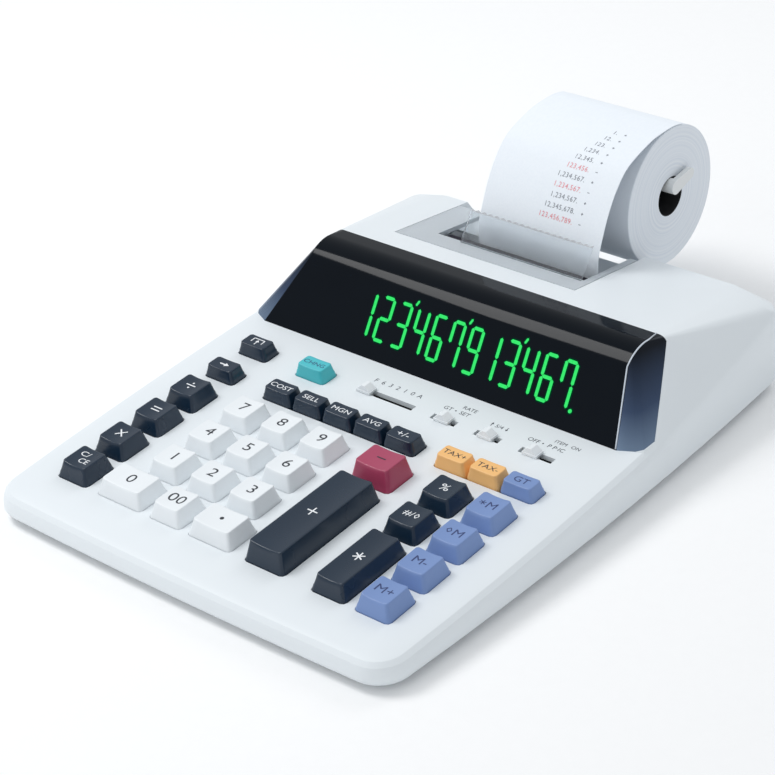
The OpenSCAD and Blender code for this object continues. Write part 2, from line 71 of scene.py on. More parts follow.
# %% Deck frame
press = Vector(next(j["axis"] for j in frame["joints"] if j["name"] == "key_5_press"))
tilt = math.atan2(press.y, -press.z)
DECK_FRONT = 21.5
DECK_HEIGHT = 12.6
origin = Vector((0, cad_low.y + DECK_FRONT * MM, DECK_HEIGHT * MM))
DECK = Matrix.Translation(origin) @ Matrix.Rotation(tilt, 4, "X")
UNDECK = DECK.inverted()


def deck(x, v, w):
    """A point in millimetres on the deck, as a place in the model."""
    return DECK @ (Vector((x, v, w)) * MM)


def deck_box(name):
    """A node's lowest and highest corners in the deck's frame, in millimetres."""
    points = [UNDECK @ v.co / MM for v in nodes[name].data.vertices]
    low = Vector([min(p[i] for p in points) for i in range(3)])
    high = Vector([max(p[i] for p in points) for i in range(3)])
    return low, high


print("deck slope in degrees:", round(math.degrees(tilt), 2))

# %% [markdown]
# ## Camera
# A long lens from the right front, above the object, gives the flat perspective of a
# catalogue page. The camera is slightly rolled. Azimuth turns round the upright axis,
# and the target is the point on the view axis that is nearest to the object's middle.

# %% Camera
VIEW_AZIMUTH = 41.77
VIEW_DROP = 30.38
VIEW_ROLL = -3.675
VIEW_DISTANCE = 0.8879
LENS = 109.0
SENSOR = 36
NEAREST = 0.05
view_target = Vector((-0.0194, -0.0077, 0.0123))
camera = bpy.data.objects.new("camera", bpy.data.cameras.new("camera"))
camera.data.lens = LENS
camera.data.sensor_width = SENSOR
camera.data.clip_start = NEAREST
bpy.context.scene.collection.objects.link(camera)
turn = (Matrix.Rotation(math.radians(VIEW_AZIMUTH), 4, "Z")
        @ Matrix.Rotation(math.radians(90 - VIEW_DROP), 4, "X")
        @ Matrix.Rotation(math.radians(VIEW_ROLL), 4, "Z"))
camera.matrix_world = Matrix.Translation(
    view_target + turn.to_3x3() @ Vector((0, 0, VIEW_DISTANCE))) @ turn
bpy.context.scene.camera = camera
print("camera at", [round(v, 3) for v in camera.matrix_world.translation])

# %% [markdown]
# ## Studio
# A white floor and a bright even world make the pale, almost shadowless setting in
# which office products are shown. One large soft lamp from the left and above gives the
# keys their bright front edges, and a weaker one fills the right side.

# %% Floor, world and lamps
def link(obj):
    bpy.context.scene.collection.objects.link(obj)
    return obj


def mesh_piece(name, verts, faces):
    """A new object from lists of corners and faces."""
    mesh = bpy.data.meshes.new(name)
    mesh.from_pydata([tuple(v) for v in verts], [], faces)
    mesh.update()
    return link(bpy.data.objects.new(name, mesh))


FLOOR = 6.0
floor = mesh_piece("studio_floor", [(-FLOOR, -FLOOR, 0), (FLOOR, -FLOOR, 0),
                                    (FLOOR, FLOOR, 0), (-FLOOR, FLOOR, 0)], [(0, 1, 2, 3)])
scene = bpy.context.scene
world = bpy.data.worlds.new("studio")
scene.world = world
world.use_nodes = True
SKY, SKY_STRENGTH = (0.94, 0.97, 1.0, 1), 0.6
sky = world.node_tree.nodes["Background"]
sky.inputs["Color"].default_value = SKY
sky.inputs["Strength"].default_value = SKY_STRENGTH
scene.view_settings.view_transform = "Standard"
scene.view_settings.look = "None"


def lamp(name, place, target, size, power, colour=(1, 1, 1)):
    """A square soft lamp that points at a target."""
    data = bpy.data.lights.new(name, "AREA")
    data.size, data.energy, data.color = size, power, colour
    obj = link(bpy.data.objects.new(name, data))
    obj.location = place
    obj.rotation_euler = (Vector(target) - Vector(place)).to_track_quat("-Z", "Y").to_euler()
    return obj


lamp("key_lamp", (-0.55, -0.25, 0.95), (0, 0.02, 0), 0.45, 5.2)
lamp("front_lamp", (-0.2, -1.1, 0.75), (0, 0, 0), 0.7, 1.2)
lamp("back_lamp", (0.1, 1.0, 0.9), (0, 0.05, 0.02), 0.6, 2.2)

# %% [markdown]
# ## Shared surface effects
# Two effects come back in almost every plastic here. Moulded plastic has a fine spark
# texture, and handling leaves slight changes of colour and gloss. The two together are one
# node group that gives out a colour, a roughness and a height, so that the shaders can
# stay in their own materials.

# %% Node groups
def new_group(name, inputs, outputs):
    """An empty shader group with named sockets."""
    group = bpy.data.node_groups.new(name, "ShaderNodeTree")
    for label, kind, value in inputs:
        socket = group.interface.new_socket(label, in_out="INPUT", socket_type=kind)
        socket.default_value = value
    for label, kind in outputs:
        group.interface.new_socket(label, in_out="OUTPUT", socket_type=kind)
    return group, group.nodes.new("NodeGroupInput"), group.nodes.new("NodeGroupOutput")


COLOUR, FLOAT = "NodeSocketColor", "NodeSocketFloat"
moulded, g_in, g_out = new_group(
    "moulded_plastic",
    [("Colour", COLOUR, (1, 1, 1, 1)), ("Roughness", FLOAT, 0.4), ("Grain size", FLOAT, 3500.0),
     ("Mottle", FLOAT, 0.03), ("Gloss change", FLOAT, 0.06)],
    [("Colour", COLOUR), ("Roughness", FLOAT), ("Height", FLOAT)])
N, L = moulded.nodes, moulded.links
place = N.new("ShaderNodeTexCoord")
grain = N.new("ShaderNodeTexNoise")
grain.inputs["Detail"].default_value = 3
cloud = N.new("ShaderNodeTexNoise")
cloud.inputs["Scale"].default_value = 45
cloud.inputs["Detail"].default_value = 4
L.new(place.outputs["Object"], grain.inputs["Vector"])
L.new(place.outputs["Object"], cloud.inputs["Vector"])
L.new(g_in.outputs["Grain size"], grain.inputs["Scale"])
L.new(grain.outputs[0], g_out.inputs["Height"])


def maths(tree, kind, a, b=None, c=None):
    """A Math node whose inputs are sockets or numbers; gives its output."""
    node = tree.nodes.new("ShaderNodeMath")
    node.operation = kind
    for slot_in, value in zip(node.inputs, (a, b, c)):
        if isinstance(value, (int, float)):
            slot_in.default_value = value
        elif value is not None:
            tree.links.new(value, slot_in)
    return node.outputs[0]


centred = maths(moulded, "SUBTRACT", cloud.outputs[0], 0.5)
L.new(maths(moulded, "MULTIPLY_ADD", centred, g_in.outputs["Gloss change"],
            g_in.outputs["Roughness"]), g_out.inputs["Roughness"])
shade = N.new("ShaderNodeHueSaturation")
L.new(g_in.outputs["Colour"], shade.inputs["Color"])
L.new(maths(moulded, "MULTIPLY_ADD", centred, g_in.outputs["Mottle"], 1.0),
      shade.inputs["Value"])
L.new(shade.outputs[0], g_out.inputs["Colour"])
print("groups:", [g.name for g in bpy.data.node_groups])

# %% [markdown]
# ## Materials
# Each finish is a Principled shader with the shared effect in front of it. Numbers that
# are the same all over, such as the coat's strength, sit on the shader's own sockets.

# %% Plastic materials
def shader_of(name):
    material = bpy.data.materials.new(name)
    material.use_nodes = True
    tree = material.node_tree
    return material, tree, tree.nodes["Principled BSDF"]


def plastic(name, colour, roughness=0.4, grain_size=3500.0, bump=0.12, mottle=0.05,
            gloss_change=0.08, coat=0.0, depth=0.00003, specular=0.5):
    """Moulded plastic: fine grain, faint mottle, uneven gloss."""
    material, tree, shader = shader_of(name)
    effect = tree.nodes.new("ShaderNodeGroup")
    effect.node_tree = moulded
    for label, value in (("Colour", (*colour, 1)), ("Roughness", roughness),
                         ("Grain size", grain_size), ("Mottle", mottle),
                         ("Gloss change", gloss_change)):
        effect.inputs[label].default_value = value
    tree.links.new(effect.outputs["Colour"], shader.inputs["Base Color"])
    tree.links.new(effect.outputs["Roughness"], shader.inputs["Roughness"])
    ridges = tree.nodes.new("ShaderNodeBump")
    ridges.inputs["Strength"].default_value = bump
    ridges.inputs["Distance"].default_value = depth
    tree.links.new(effect.outputs["Height"], ridges.inputs["Height"])
    tree.links.new(ridges.outputs[0], shader.inputs["Normal"])
    shader.inputs["Coat Weight"].default_value = coat
    shader.inputs["Coat Roughness"].default_value = 0.12
    shader.inputs["Specular IOR Level"].default_value = specular
    return material


WHITE_INK, DARK_INK = (0.86, 0.88, 0.9), (0.02, 0.025, 0.035)
case_white = plastic("case_white", (0.80, 0.845, 0.875), 0.42, 2600, 0.22, 0.02)
finishes = {
    "case_white": case_white,
    "key_white": plastic("key_white", (0.84, 0.875, 0.90), 0.34, 4200, 0.08),
    "key_dark": plastic("key_dark", (0.006, 0.020, 0.042), 0.27, 4200, 0.10, 0.2, coat=0.1),
    "key_red": plastic("key_red", (0.40, 0.05, 0.115), 0.33, 4200, 0.10, 0.1, coat=0.15),
    "key_orange": plastic("key_orange", (0.92, 0.52, 0.19), 0.36, 4200, 0.10),
    "key_blue": plastic("key_blue", (0.19, 0.29, 0.56), 0.36, 4200, 0.10),
    "key_teal": plastic("key_teal", (0.07, 0.52, 0.58), 0.34, 4200, 0.10),
    "holder_plastic": plastic("holder_plastic", (0.78, 0.80, 0.80), 0.3, 3000, 0.1),
    "roller_rubber": plastic("roller_rubber", (0.02, 0.02, 0.022), 0.7, 1800, 0.5),
    "drum_dark": plastic("drum_dark", (0.035, 0.035, 0.04), 0.45),
    "ink_felt": plastic("ink_felt", (0.012, 0.010, 0.022), 0.95, 2400, 0.9, 0.3),
    "foot_rubber": plastic("foot_rubber", (0.03, 0.03, 0.032), 0.75, 1500, 0.4, 0.2),
    # The mat is made very dark so that the gaps round the keycaps read dark: painted shade in the gaps.
    "mat_rubber": plastic("mat_rubber", (0.06, 0.065, 0.07), 0.65, 1500, 0.3),
    "board": plastic("board", (0.03, 0.16, 0.07), 0.35, 900, 0.1, 0.2),
    "laminations": plastic("laminations", (0.07, 0.07, 0.08), 0.5, 1500, 0.3),
}
ink_white = plastic("ink_white", WHITE_INK, 0.5, 5000, 0.05)
ink_dark = plastic("ink_dark", DARK_INK, 0.5, 5000, 0.05)
ink_navy = plastic("ink_navy", (0.03, 0.05, 0.16), 0.5, 5000, 0.05)
print("plastics:", len(finishes))

# %% [markdown]
# ## Metal, lens, frosted cover and paper
# The steel has a brushed grain: noise stretched along one axis. The display lens is
# nearly black and glossy, with a weak reflection. The printer's cover is frosted and lets some
# light through. Paper is bright, matt and faintly fibrous.

# %% Other materials
def stretched_noise(tree, scale, stretch, detail=3):
    """Noise whose grain is stretched along the three axes; gives its output."""
    coords = tree.nodes.new("ShaderNodeTexCoord")
    mapping = tree.nodes.new("ShaderNodeMapping")
    mapping.inputs["Scale"].default_value = stretch
    noise = tree.nodes.new("ShaderNodeTexNoise")
    noise.inputs["Scale"].default_value = scale
    noise.inputs["Detail"].default_value = detail
    tree.links.new(coords.outputs["Object"], mapping.inputs[0])
    tree.links.new(mapping.outputs[0], noise.inputs["Vector"])
    return noise.outputs[0]


def tinted(tree, socket_in, source, dark, light):
    """A ramp from dark to light, driven by a mask."""
    ramp = tree.nodes.new("ShaderNodeValToRGB")
    ramp.color_ramp.elements[0].color = (*dark, 1)
    ramp.color_ramp.elements[1].color = (*light, 1)
    tree.links.new(source, ramp.inputs[0])
    tree.links.new(ramp.outputs[0], socket_in)


def bumped(tree, shader, height, strength, distance):
    ridges = tree.nodes.new("ShaderNodeBump")
    ridges.inputs["Strength"].default_value = strength
    ridges.inputs["Distance"].default_value = distance
    tree.links.new(height, ridges.inputs["Height"])
    tree.links.new(ridges.outputs[0], shader.inputs["Normal"])


def brushed(name, dark, light, roughness):
    material, tree, shader = shader_of(name)
    streaks = stretched_noise(tree, 900, (0.05, 1, 1))
    tinted(tree, shader.inputs["Base Color"], streaks, dark, light)
    tree.links.new(maths(tree, "MULTIPLY_ADD", streaks, 0.2, roughness),
                   shader.inputs["Roughness"])
    bumped(tree, shader, streaks, 0.15, 0.00002)
    shader.inputs["Metallic"].default_value = 1.0
    return material


finishes["steel"] = brushed("steel", (0.38, 0.39, 0.41), (0.62, 0.63, 0.65), 0.22)
finishes["tear_metal"] = brushed("tear_metal", (0.55, 0.57, 0.60), (0.78, 0.80, 0.82), 0.15)

lens_black, tree, shader = shader_of("lens_black")
sheen = stretched_noise(tree, 30, (0.4, 1, 1))
tinted(tree, shader.inputs["Base Color"], sheen, (0.0015, 0.003, 0.006), (0.003, 0.006, 0.010))
tree.links.new(maths(tree, "MULTIPLY_ADD", sheen, 0.05, 0.06), shader.inputs["Roughness"])
shader.inputs["Specular IOR Level"].default_value = 0.12
finishes["lens_smoked"] = lens_black

# The side returns' colour is a painted reflection: blue-grey at the foot, fading to black at the top, with a
# little noise.
lens_side_painted_reflection, tree, shader = shader_of("lens_side_painted_reflection")
sheen = stretched_noise(tree, 60, (1, 1, 0.3))
coords = tree.nodes.new("ShaderNodeTexCoord")
split = tree.nodes.new("ShaderNodeSeparateXYZ")
tree.links.new(coords.outputs["Object"], split.inputs[0])
SIDE_FOOT, SIDE_TOP = 0.020, 0.046
rise = maths(tree, "MULTIPLY_ADD", split.outputs["Z"], 1 / (SIDE_TOP - SIDE_FOOT),
             -SIDE_FOOT / (SIDE_TOP - SIDE_FOOT))
uneven = maths(tree, "MULTIPLY_ADD", sheen, 0.12, rise)
tinted(tree, shader.inputs["Base Color"], uneven, (0.20, 0.28, 0.40), (0.005, 0.008, 0.014))
side_ramp = shader.inputs["Base Color"].links[0].from_node.color_ramp
side_ramp.elements.new(0.45).color = (0.05, 0.08, 0.15, 1)
shader.inputs["Metallic"].default_value = 0.7
tree.links.new(maths(tree, "MULTIPLY_ADD", sheen, 0.1, 0.18), shader.inputs["Roughness"])

cover_frosted, tree, shader = shader_of("cover_frosted")
frost = stretched_noise(tree, 900, (1, 1, 1))
tinted(tree, shader.inputs["Base Color"], frost, (0.74, 0.80, 0.85), (0.84, 0.89, 0.93))
bumped(tree, shader, frost, 0.25, 0.00003)
shader.inputs["Transmission Weight"].default_value = 0.4
shader.inputs["IOR"].default_value = 1.45
tree.links.new(maths(tree, "MULTIPLY_ADD", frost, 0.2, 0.28), shader.inputs["Roughness"])
finishes["cover_frosted"] = cover_frosted

tube_glass, tree, shader = shader_of("tube_glass")
smoke = stretched_noise(tree, 40, (1, 1, 1))
tinted(tree, shader.inputs["Base Color"], smoke, (0.02, 0.05, 0.045), (0.04, 0.08, 0.07))
tree.links.new(maths(tree, "MULTIPLY_ADD", smoke, 0.06, 0.08), shader.inputs["Roughness"])
finishes["tube_glass"] = tube_glass


def paper_like(name, dark, light, bump=0.25):
    material, tree, shader = shader_of(name)
    fibres = stretched_noise(tree, 1400, (1, 0.35, 1), 6)
    tinted(tree, shader.inputs["Base Color"], fibres, dark, light)
    bumped(tree, shader, fibres, bump, 0.00004)
    tree.links.new(maths(tree, "MULTIPLY_ADD", fibres, 0.15, 0.7), shader.inputs["Roughness"])
    shader.inputs["Specular IOR Level"].default_value = 0.25
    return material


finishes["paper"] = paper_like("paper", (0.82, 0.87, 0.93), (0.90, 0.94, 0.98))
print("finishes:", sorted(finishes))

# %% [markdown]
# The floor is a matt white sheet. It gets a faint tooth, so that the shadow under the
# object doesn't fall on a perfectly flat colour.

# %% Floor material
floor_white, tree, shader = shader_of("floor_white")
tooth = stretched_noise(tree, 200, (1, 1, 1))
tinted(tree, shader.inputs["Base Color"], tooth, (0.975, 0.975, 0.975), (0.995, 0.995, 0.995))
shader.inputs["Roughness"].default_value = 0.9
floor.data.materials.append(floor_white)

# %% [markdown]
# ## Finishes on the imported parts
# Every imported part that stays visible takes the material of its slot. A weld and a
# smoothing modifier round off the shading of the moulded shells without touching
# their corners, so the parts keep their exact shape.

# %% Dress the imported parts
slot_of = {s["node"]: s["material_slot"] for s in frame["record"]["subparts"]}


def smooth_by_angle(obj, degrees=24, weld=True):
    """Smooth shading that stays crisp at corners sharper than the angle."""
    for polygon in obj.data.polygons:
        polygon.use_smooth = True
    if weld:
        obj.modifiers.new("weld", "WELD").merge_threshold = 0.00001
    split = obj.modifiers.new("split", "EDGE_SPLIT")
    split.split_angle = math.radians(degrees)
    split.use_edge_sharp = False


for name, obj in nodes.items():
    obj.data.materials.clear()
    obj.data.materials.append(finishes[slot_of[name]])
    smooth_by_angle(obj)
print("dressed", len(nodes), "parts")

# %% [markdown]
# ## Keycaps
# A real keycap is moulded with a flared foot, sides that lean in, soft upright edges
# and a top that is dished from left to right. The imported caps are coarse, so each gets
# a finer twin: rings of a rounded rectangle are stacked up the cap and the top is
# filled with smaller rings that follow the dish. The first function makes one ring.

# %% One ring of a keycap
KEY_FLANGE = 0.9
CORNER_STEPS = 6
SIDE_STEPS = 8


def ring(half_x, front, back, radius, height):
    """Points of a rounded rectangle, anticlockwise, with extra points on its sides."""
    points = []
    arcs = [(half_x - radius, back - radius, 0), (-half_x + radius, back - radius, 90),
            (-half_x + radius, front + radius, 180), (half_x - radius, front + radius, 270)]
    for x, y, start in arcs:
        for k in range(CORNER_STEPS + 1):
            a = math.radians(start + 90 * k / CORNER_STEPS)
            points.append(Vector((x + radius * math.cos(a), y + radius * math.sin(a), height)))
    full = []
    for i, point in enumerate(points):
        full.append(point)
        if i % (CORNER_STEPS + 1) == CORNER_STEPS:
            after = points[(i + 1) % len(points)]
            full += [point.lerp(after, k / SIDE_STEPS) for k in range(1, SIDE_STEPS)]
    return full


# %% [markdown]
# Each ring of the skirt is a share of the whole lean, a height and a corner radius. The
# last rings step round the rim of the top and then shrink towards its middle.

# %% All the rings of a keycap
FOOT_RINGS = [(0.0, -1.6, 1.5), (0.0, 0.15, 1.5), (0.10, 0.35, 1.48), (0.32, 0.9, 1.45),
              (0.50, 1.6, 1.4)]
FOOT_LEAN = 0.5
LEAN_RINGS = [(0.48, 0.42, 1.35), (0.74, 0.68, 1.3), (0.95, 0.90, 1.3)]
SHOULDER_SHARE, SHOULDER_DROP = 0.85, 0.38
RIM_RINGS = [(0.0, 0.26), (0.13, 0.10), (0.32, 0.02), (0.62, 0.0)]
RIM_RADIUS, RIM_SHRINK, RIM_RADIUS_LEAST = 1.25, 0.4, 0.6
TOP_SHARES = (0.75, 0.5, 0.25)


def cap_rings(width, depth, height, inset, front, back, sag):
    """The keycap's rings from its foot to the middle of its dished top."""
    half, top_half = width / 2, width / 2 - inset
    dish_radius = top_half ** 2 / (2 * sag) + sag / 2

    def dish(x, edge):
        level = height - sag + dish_radius - math.sqrt(max(dish_radius ** 2 - x * x, 0))
        return min(level, height) - edge

    def leaning(share, radius, level):
        return ring(half - share * inset, -depth / 2 + share * front,
                    depth / 2 - share * back, radius, level)

    made = [leaning(share * FOOT_LEAN, radius, level)
            for share, level, radius in FOOT_RINGS if level < height / 2]
    for share, rise, radius in LEAN_RINGS:
        layer = leaning(share, radius, height * rise)
        if rise > SHOULDER_SHARE:
            for p in layer:
                p.z = min(p.z, dish(p.x, SHOULDER_DROP))
        made.append(layer)
    for grow, edge in RIM_RINGS:
        layer = ring(top_half - grow, -depth / 2 + front + grow, depth / 2 - back - grow,
                     max(RIM_RADIUS - grow * RIM_SHRINK, RIM_RADIUS_LEAST), 0)
        for p in layer:
            p.z = dish(p.x, edge)
        made.append(layer)
    last = made[-1]
    middle = Vector((0, (front - back) / 2, 0))
    for shrink in TOP_SHARES:
        layer = [middle + (Vector((p.x, p.y, 0)) - middle) * shrink for p in last]
        for p in layer:
            p.z = dish(p.x, 0)
        made.append(layer)
    return made, dish


def stack(name, rings, matrix):
    """A closed skin through rings with the same number of points."""
    count = len(rings[0])
    verts = [matrix @ (p * MM) for layer in rings for p in layer]
    faces = []
    for i in range(len(rings) - 1):
        for k in range(count):
            a, b = i * count + k, i * count + (k + 1) % count
            faces.append((a, b, b + count, a + count))
    faces.append(tuple(reversed(range(count))))
    faces.append(tuple(range((len(rings) - 1) * count, len(rings) * count)))
    return mesh_piece(name, verts, faces)


# %% [markdown]
# ## Legends
# The legends are moulded into the caps in a second colour, so they lie in the surface.
# Each one is a text object turned into a mesh, and its points are lifted onto the dish.
# The letters are plain capitals, as on any such keyboard.

# %% Legend builder
def text_outline(text, size, stretch=1.0, spacing=1.0):
    """The flat mesh of a line of text, centred on the origin, in millimetres."""
    curve = bpy.data.curves.new("lettering", "FONT")
    curve.body = text
    curve.size = size
    curve.align_x, curve.align_y = "CENTER", "CENTER"
    curve.space_character = spacing
    curve.resolution_u = 4
    obj = link(bpy.data.objects.new("lettering", curve))
    mesh = bpy.data.meshes.new_from_object(obj.evaluated_get(
        bpy.context.evaluated_depsgraph_get()))
    bpy.data.objects.remove(obj)
    verts = [Vector((v.co.x * stretch, v.co.y, 0)) for v in mesh.vertices]
    faces = [tuple(p.vertices) for p in mesh.polygons]
    bpy.data.meshes.remove(mesh)
    if verts:
        mid_x = (min(v.x for v in verts) + max(v.x for v in verts)) / 2
        mid_y = (min(v.y for v in verts) + max(v.y for v in verts)) / 2
        verts = [v - Vector((mid_x, mid_y, 0)) for v in verts]
    return verts, faces


def strokes(lines, width):
    """A flat mesh of straight strokes, each given by its two ends, in millimetres."""
    verts, faces = [], []
    for (ax, ay), (bx, by) in lines:
        along = Vector((bx - ax, by - ay, 0)).normalized()
        side = Vector((-along.y, along.x, 0)) * width / 2
        a, b = Vector((ax, ay, 0)), Vector((bx, by, 0))
        first = len(verts)
        verts += [a - side, b - side, b + side, a + side]
        faces.append(tuple(range(first, first + 4)))
    return verts, faces


def dot(x, y, radius, points=20):
    """A flat disc."""
    return ([Vector((x + radius * math.cos(math.tau * i / points),
                     y + radius * math.sin(math.tau * i / points), 0))
             for i in range(points)], [tuple(range(points))])


def joined(*parts):
    verts, faces = [], []
    for part_verts, part_faces in parts:
        shift = len(verts)
        verts += part_verts
        faces += [tuple(i + shift for i in f) for f in part_faces]
    return verts, faces


def shifted(part, x, y):
    return [v + Vector((x, y, 0)) for v in part[0]], part[1]


INK_LIFT = 0.035
SIGN = 0.42
signs = {
    "+": lambda: strokes([((-1.7, 0), (1.7, 0)), ((0, -1.7), (0, 1.7))], SIGN),
    "-": lambda: strokes([((-1.5, 0), (1.5, 0))], SIGN),
    "=": lambda: strokes([((-1.6, 0.65), (1.6, 0.65)), ((-1.6, -0.65), (1.6, -0.65))], SIGN),
    "x": lambda: strokes([((-1.3, -1.3), (1.3, 1.3)), ((-1.3, 1.3), (1.3, -1.3))], SIGN),
    "/": lambda: joined(strokes([((-1.7, 0), (1.7, 0))], SIGN), dot(0, 1.2, 0.33),
                        dot(0, -1.2, 0.33)),
    "*": lambda: strokes([((1.7 * math.cos(a), 1.7 * math.sin(a)),
                           (-1.7 * math.cos(a), -1.7 * math.sin(a)))
                          for a in (math.radians(d) for d in (90, 30, 150))], SIGN),
    ".": lambda: dot(0, 0, 0.62),
    ">": lambda: joined(strokes([((-1.6, 0), (0.6, 0))], 0.5),
                        ([Vector((0.3, 0.85, 0)), Vector((0.3, -0.85, 0)),
                          Vector((1.8, 0, 0))], [(0, 1, 2)])),
    "feed": lambda: joined(
        strokes([((-2.0, -0.6), (-2.0, 1.3)), ((-2.0, 1.3), (2.0, 1.3)),
                 ((2.0, 1.3), (2.0, -0.6)), ((0, -1.5), (0, 0.2))], 0.34),
        ([Vector((-0.7, -0.1, 0)), Vector((0.7, -0.1, 0)), Vector((0, 0.9, 0))],
         [(0, 1, 2)])),
    "diamond": lambda: strokes([((-0.9, 0), (0, 1.2)), ((0, 1.2), (0.9, 0)),
                                ((0.9, 0), (0, -1.2)), ((0, -1.2), (-0.9, 0))], 0.34),
}

# %% [markdown]
# ## All the keys
# The list says what stands on each key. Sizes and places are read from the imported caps,
# so each cap stands in its own hole. Each twin rides on its key's body and moves with it.

# %% Make the keys
BIG, SMALL, WORD = 6.5, 4.0, 3.4
legends = {
    "key_clear": ("C/", 3.7, "two_lines"), "key_multiply": "x", "key_equals": "=",
    "key_divide": "/",
    "key_0": ("0", BIG), "key_00": ("00", BIG), "key_point": ".", "key_plus": "+",
    "key_minus": "-", "key_total": "*", "key_subtotal": ("#/", SMALL, "diamond"),
    "key_percent": ("%", 5.0), "key_memory_plus": ("M+", 5.0), "key_memory_minus": ("M-", 5.0),
    "key_memory_subtotal": ("M", 5.0, "diamond_first"), "key_memory_total": ("M", 5.0, "star"),
    "key_cost": ("COST", WORD), "key_sell": ("SELL", WORD), "key_margin": ("MGN", WORD),
    "key_average": ("AVG", WORD), "key_sign": ("+/-", 4.2), "key_tax_plus": ("TAX+", WORD),
    "key_tax_minus": ("TAX-", WORD), "key_grand_total": ("GT", 4.1), "key_backspace": ">",
    "key_paper_feed": "feed", "key_change": ("CHNG", 3.0),
}
legends.update({f"key_{i}": (str(i), BIG) for i in range(1, 10)})
ink_on = {"key_dark": ink_white, "key_white": ink_dark, "key_red": ink_dark,
          "key_orange": ink_dark, "key_blue": ink_navy, "key_teal": ink_navy}


def legend_mesh(entry):
    if isinstance(entry, str):
        return signs[entry]()
    text, size = entry[0], entry[1]
    base = text_outline(text, size, 1.16)
    extra = entry[2] if len(entry) > 2 else ""
    if extra == "two_lines":
        return joined(shifted(base, -1.2, 1.7), shifted(text_outline("CE", 3.7, 1.08), 1.2, -1.9))
    if extra == "diamond":
        return joined(shifted(base, -1.1, 0), shifted(signs["diamond"](), 2.4, 0))
    if extra == "diamond_first":
        return joined(shifted(base, 1.2, 0), shifted(signs["diamond"](), -2.6, 0))
    if extra == "star":
        star = signs["*"]()
        star = ([v * 0.75 for v in star[0]], star[1])
        return joined(shifted(base, 1.2, 0), shifted(star, -2.6, 0))
    return base


SIGN_GROWTH = 1.3
SHORT_KEYS_BELOW = 5.6
TALL_FORM = (1.75, 2.1, 1.1, 0.62)
SHORT_FORM = (1.25, 0.9, 0.9, 0.22)
LEGEND_UP = 0.3
for name in sorted(n for n in nodes if n.startswith("key_")):
    low, high = deck_box(name)
    short = high.z < SHORT_KEYS_BELOW
    width = high.x - low.x - (0 if short else 2 * KEY_FLANGE)
    depth = high.y - low.y - 2 * KEY_FLANGE
    height = high.z
    inset, front, back, sag = SHORT_FORM if short else TALL_FORM
    at = DECK @ Matrix.Translation(Vector(((low.x + high.x) / 2, (low.y + high.y) / 2, 0)) * MM)
    rings, dish = cap_rings(width, depth, height, inset, front, back, sag)
    cap = stack(name + "_cap", rings, at)
    smooth_by_angle(cap, 60, weld=False)
    slot_name = slot_of[name]
    cap.data.materials.append(finishes[slot_name])
    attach(cap, name)
    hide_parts(name)
    verts, faces = legend_mesh(legends[name])
    if isinstance(legends[name], str):
        verts = [p * SIGN_GROWTH for p in verts]
    centre_y = (front - back) / 2 + (0 if short else LEGEND_UP)
    placed = [at @ (Vector((v.x, v.y + centre_y, dish(v.x, 0) + INK_LIFT)) * MM)
              for v in verts]
    sign = mesh_piece(name + "_legend", placed, faces)
    sign.data.materials.append(ink_on[slot_name])
    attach(sign, name)

# %% [markdown]
# ## The display window
# The window is one smoked acrylic moulding: a sloping face, a tight bend at the top and
# a return down each side. The face and the bend get a finer skin a tenth of a
# millimetre outside the imported window, so the lamps draw a clean line along the bend.
# The side returns get a painted reflection: blue-grey at the foot, fading to black at the top, where the smoked
# plastic is seen edge-on.

# %% Window face
FACE_FOOT = 119.0
FACE_TILT = math.radians(44.5)
TOP_FALL = math.radians(10.8)
BEND_RADIUS = 15.0
TOP_EDGE = Vector((160.3, 23.3))
FOOT_HALF, KNEE_HALF, TOP_HALF = 84.2, 75.65, 74.4
SKIN = 0.12
face_length = ((TOP_EDGE.y + (TOP_EDGE.x - FACE_FOOT) * math.tan(TOP_FALL))
               / (math.sin(FACE_TILT) + math.cos(FACE_TILT) * math.tan(TOP_FALL))
               - BEND_RADIUS * math.tan((FACE_TILT + TOP_FALL) / 2))
bend_v = FACE_FOOT + face_length * math.cos(FACE_TILT) + BEND_RADIUS * math.sin(FACE_TILT)
bend_w = face_length * math.sin(FACE_TILT) - BEND_RADIUS * math.cos(FACE_TILT)


def on_face(x, q, lift=SKIN):
    """A point on the window's sloping face, q millimetres up from its foot."""
    v = FACE_FOOT + q * math.cos(FACE_TILT) - lift * math.sin(FACE_TILT)
    return deck(x, v, q * math.sin(FACE_TILT) + lift * math.cos(FACE_TILT))


profile = []
FACE_ROWS, BEND_ROWS = 12, 28
for i in range(FACE_ROWS):
    q = 0.5 + (face_length - 0.5) * i / FACE_ROWS
    share = q / face_length
    profile.append((FACE_FOOT + q * math.cos(FACE_TILT) - SKIN * math.sin(FACE_TILT),
                    q * math.sin(FACE_TILT) + SKIN * math.cos(FACE_TILT),
                    FOOT_HALF + (KNEE_HALF - FOOT_HALF) * share))
for i in range(BEND_ROWS + 1):
    a = -FACE_TILT + (FACE_TILT + TOP_FALL) * i / BEND_ROWS
    r = BEND_RADIUS + SKIN
    profile.append((bend_v + r * math.sin(a), bend_w + r * math.cos(a), KNEE_HALF))
profile.append((TOP_EDGE.x - 0.1, TOP_EDGE.y + SKIN, TOP_HALF))
EDGE_INSET = 0.5
verts, faces = [], []
for v, w, half in profile:
    verts += [deck(-half + EDGE_INSET, v, w), deck(half - EDGE_INSET, v, w)]
for i in range(len(profile) - 1):
    faces.append((2 * i, 2 * i + 1, 2 * i + 3, 2 * i + 2))
window_face = mesh_piece("window_face", verts, faces)
for polygon in window_face.data.polygons:
    polygon.use_smooth = True
window_face.data.materials.append(lens_black)
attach(window_face, "case")
# Faces that turn sideways take the side material with its painted reflection.
RETURN_TURN = 0.15
window = nodes["display_window"]
window.data.materials.append(lens_side_painted_reflection)
for polygon in window.data.polygons:
    polygon.material_index = 1 if abs(polygon.normal.x) > RETURN_TURN else 0
print("window face length:", round(face_length, 2), "rows:", len(profile))
